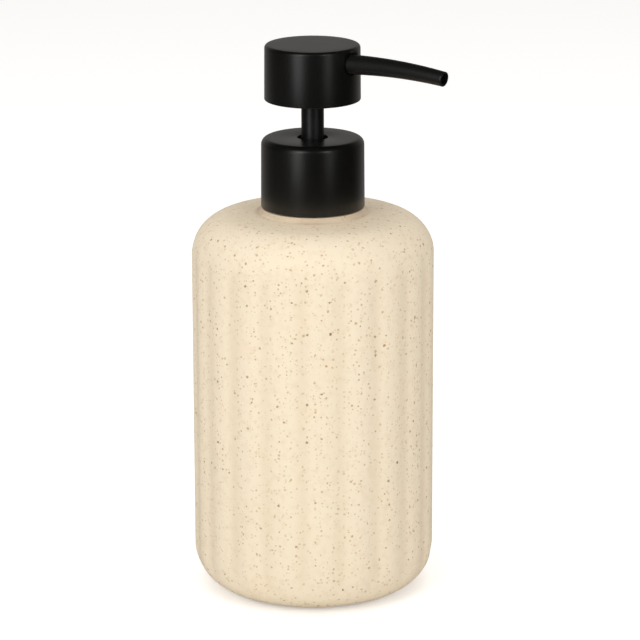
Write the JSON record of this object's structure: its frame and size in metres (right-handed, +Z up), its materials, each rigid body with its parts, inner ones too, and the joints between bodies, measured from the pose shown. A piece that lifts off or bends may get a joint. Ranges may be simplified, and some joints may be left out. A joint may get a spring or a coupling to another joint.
{
  "type": "soap pump dispenser",
  "caption": "Ribbed round ceramic bottle with a black pump: cylindrical collar, press head that turns on a thin stem, and a slim curved spout.",
  "frame": {"origin": "the bottle's axis at the plane of its foot, the surface it stands on", "axes": "+Z up along the bottle's axis, +X along the spout at rest"},
  "size_m": [0.0887, 0.078, 0.1793],
  "materials": {
    "stoneware": "satin speckled glaze",
    "black_shell": "satin black",
    "black_tube": "satin black",
    "black_moulding": "as moulded",
    "natural_plastic": "as moulded",
    "soft_seal": "matte",
    "spring_steel": "drawn wire",
    "ball_steel": "polished"
  },
  "bodies": {
    "bottle": {"bottle": "stoneware", "neck_insert": "black_moulding"},
    "pump": {"pump_cylinder": "natural_plastic", "gasket": "soft_seal", "guide_bush": "black_moulding", "stem_wiper": "soft_seal", "dip_tube": "natural_plastic", "spring": "spring_steel"},
    "collar": {"collar_shell": "black_shell", "inner_closure": "black_moulding"},
    "plunger": {"stem": "black_tube", "piston_rod": "natural_plastic"},
    "piston": {"piston": "soft_seal"},
    "head": {"head_core": "black_moulding", "head_shell": "black_shell", "spout": "black_tube"},
    "ball": {"inlet_ball": "ball_steel"}
  },
  "joints": [
    {"name": "pump_rise", "type": "slide", "parent": "bottle", "child": "pump", "axis": [0, 0, 1], "range_m": [0, 0.0063]},
    {"name": "collar_turn", "type": "hinge", "parent": "pump", "child": "collar", "pos_m": [0, 0, 0.127], "axis": [0, 0, 1], "range_deg": [0, 540]},
    {"name": "press", "type": "slide", "parent": "pump", "child": "plunger", "axis": [0, 0, -1], "range_m": [0, 0.0115], "stiffness_N_per_m": 800, "springref_m": -0.007, "deforming": ["spring"]},
    {"name": "piston_shift", "type": "slide", "parent": "plunger", "child": "piston", "axis": [0, 0, 1], "range_m": [0, 0.0013]},
    {"name": "head_turn", "type": "hinge", "parent": "plunger", "child": "head", "pos_m": [0, 0, 0.1615], "axis": [0, 0, 1], "continuous": true},
    {"name": "ball_lift", "type": "slide", "parent": "pump", "child": "ball", "axis": [0, 0, 1], "range_m": [0, 0.0015]}
  ],
  "couplings": [
    {"joint": "pump_rise", "follows": "collar_turn", "m_per_rad": 0.00066845}
  ]
}
